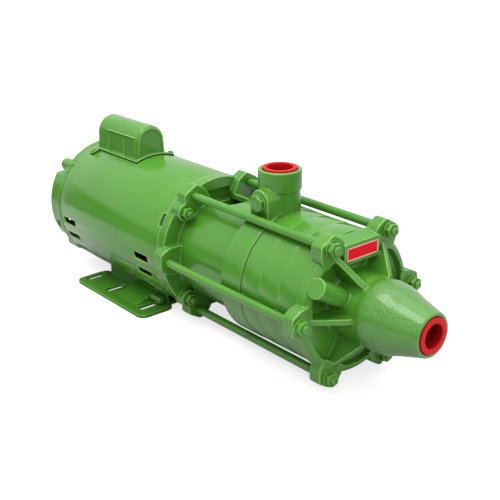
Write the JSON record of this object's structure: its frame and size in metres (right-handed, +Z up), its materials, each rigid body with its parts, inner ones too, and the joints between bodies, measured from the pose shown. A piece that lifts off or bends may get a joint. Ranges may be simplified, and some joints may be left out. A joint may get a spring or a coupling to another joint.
{
  "type": "multistage centrifugal pump",
  "caption": "Electric multistage centrifugal pump: round motor on a sheet foot, ringed casings held by tie rods, a top discharge port and a tapered suction nose.",
  "frame": {"origin": "on the floor under the shaft, midway between the foot's rear slot row and its front slot row", "axes": "+X along the shaft from the motor towards the suction nose, +Z up, +Y to the side away from the priming plug's face"},
  "size_m": [0.61, 0.185, 0.2115],
  "materials": {
    "green_enamel": "glossy green enamel over cast and sheet metal",
    "steel": "turned steel",
    "core_iron": "stacked sheet iron with a dull varnish",
    "bare_iron": "machined grey iron",
    "brass": "satin brass",
    "winding_copper": "varnished copper wire",
    "black_plastic": "moulded black plastic",
    "black_rubber": "black rubber",
    "seal_ceramic": "ground white ceramic",
    "red_plastic": "moulded red plastic",
    "red_plate": "red plate with a pale border and no text"
  },
  "bodies": {
    "housing": {"motor_foot": "green_enamel", "motor_shell": "green_enamel", "rear_end_bell": "green_enamel", "pump_bracket": "green_enamel", "through_bolts": "steel", "through_bolt_nuts": "green_enamel", "stator_core": "core_iron", "stator_windings": "winding_copper", "start_switch": "black_plastic", "wave_spring": "steel", "cable_grommet": "black_rubber", "capacitor_cover": "green_enamel", "cover_gasket": "black_rubber", "cover_screws": "steel", "start_capacitor": "black_plastic", "front_bearing_outer_ring": "steel", "rear_bearing_outer_ring": "steel", "discharge_casing": "green_enamel", "seal_seat_ring": "seal_ceramic", "stage_casing_1": "green_enamel", "stage_casing_2": "green_enamel", "stage_casing_3": "green_enamel", "diffuser_1": "bare_iron", "diffuser_2": "bare_iron", "diffuser_3": "bare_iron", "wear_rings": "brass", "casing_seals": "black_rubber", "suction_casing": "green_enamel", "tie_rods": "green_enamel", "tie_rod_washers": "green_enamel", "tie_rod_nuts": "green_enamel", "name_plate": "red_plate", "plug_washer": "green_enamel"},
    "rotor": {"pump_shaft": "steel", "rotor_core": "core_iron", "cooling_fan": "black_plastic", "start_governor": "brass", "front_bearing_inner_ring": "steel", "rear_bearing_inner_ring": "steel", "water_slinger": "black_rubber", "seal_rotating_head": "black_rubber", "impeller_key": "steel", "impeller_1": "brass", "impeller_2": "brass", "impeller_3": "brass", "spacer_sleeves": "steel", "impeller_washer": "steel", "impeller_nut": "brass"},
    "bearing_cages": {"bearing_cages": "brass", "bearing_balls": "steel"},
    "discharge_protector": {"discharge_protector": "red_plastic"},
    "suction_protector": {"suction_protector": "red_plastic"},
    "priming_plug": {"priming_plug": "green_enamel"}
  },
  "joints": [
    {"name": "shaft_spin", "type": "hinge", "parent": "housing", "child": "rotor", "pos_m": [0.1, 0, 0.0889], "axis": [1, 0, 0], "continuous": true},
    {"name": "cage_spin", "type": "hinge", "parent": "housing", "child": "bearing_cages", "pos_m": [0.1, 0, 0.0889], "axis": [1, 0, 0], "continuous": true},
    {"name": "discharge_protector_pull", "type": "slide", "parent": "housing", "child": "discharge_protector", "axis": [0, 0, 1], "range_m": [0, 0.025]},
    {"name": "suction_protector_pull", "type": "slide", "parent": "housing", "child": "suction_protector", "axis": [1, 0, 0], "range_m": [0, 0.025]},
    {"name": "priming_plug_pull", "type": "slide", "parent": "housing", "child": "priming_plug", "axis": [0, -1, 0], "range_m": [0, 0.014]}
  ],
  "couplings": [
    {"joint": "cage_spin", "follows": "shaft_spin", "ratio": 0.38}
  ]
}
